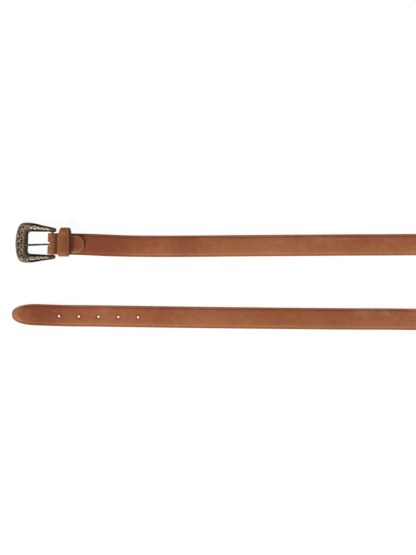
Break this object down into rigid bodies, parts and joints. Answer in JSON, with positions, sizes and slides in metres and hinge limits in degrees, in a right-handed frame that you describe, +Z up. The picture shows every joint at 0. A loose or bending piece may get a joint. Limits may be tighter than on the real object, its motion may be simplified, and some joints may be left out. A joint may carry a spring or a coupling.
{
  "type": "western belt",
  "caption": "Western belt: creased leather strap folded round the bar of a scroll-relief cast buckle, with a wire tongue and a leather keeper loop, laid as a hairpin.",
  "frame": {"origin": "centre of the bounding box's underside, on the surface that the belt lies on", "axes": "+X runs along the straight runs from the buckle and the tip towards the turn, +Y from the tip's run towards the buckle's run, +Z up"},
  "size_m": [0.5874, 0.122, 0.0245],
  "materials": {
    "strap_leather": "matte oiled leather, darker in the pressed border lines",
    "keeper_leather": "matte oiled leather",
    "old_brass": "antique brass, blackened in its recesses and rubbed bright on its ridges",
    "dark_wire": "dark plated wire"
  },
  "bodies": {
    "leather": {"strap": "strap_leather", "keeper": "keeper_leather"},
    "buckle": {"buckle_frame": "old_brass"},
    "prong": {"tongue": "dark_wire"}
  },
  "joints": [
    {"name": "buckle_swing", "type": "hinge", "parent": "leather", "child": "buckle", "pos_m": [-0.24784, 0.03726, 0.00561], "axis": [0.0349, 0.9994, 0], "range_deg": [0, 40]},
    {"name": "tongue_lift", "type": "hinge", "parent": "buckle", "child": "prong", "pos_m": [-0.24784, 0.03726, 0.00561], "axis": [0.0349, 0.9994, 0], "range_deg": [0, 30]}
  ]
}
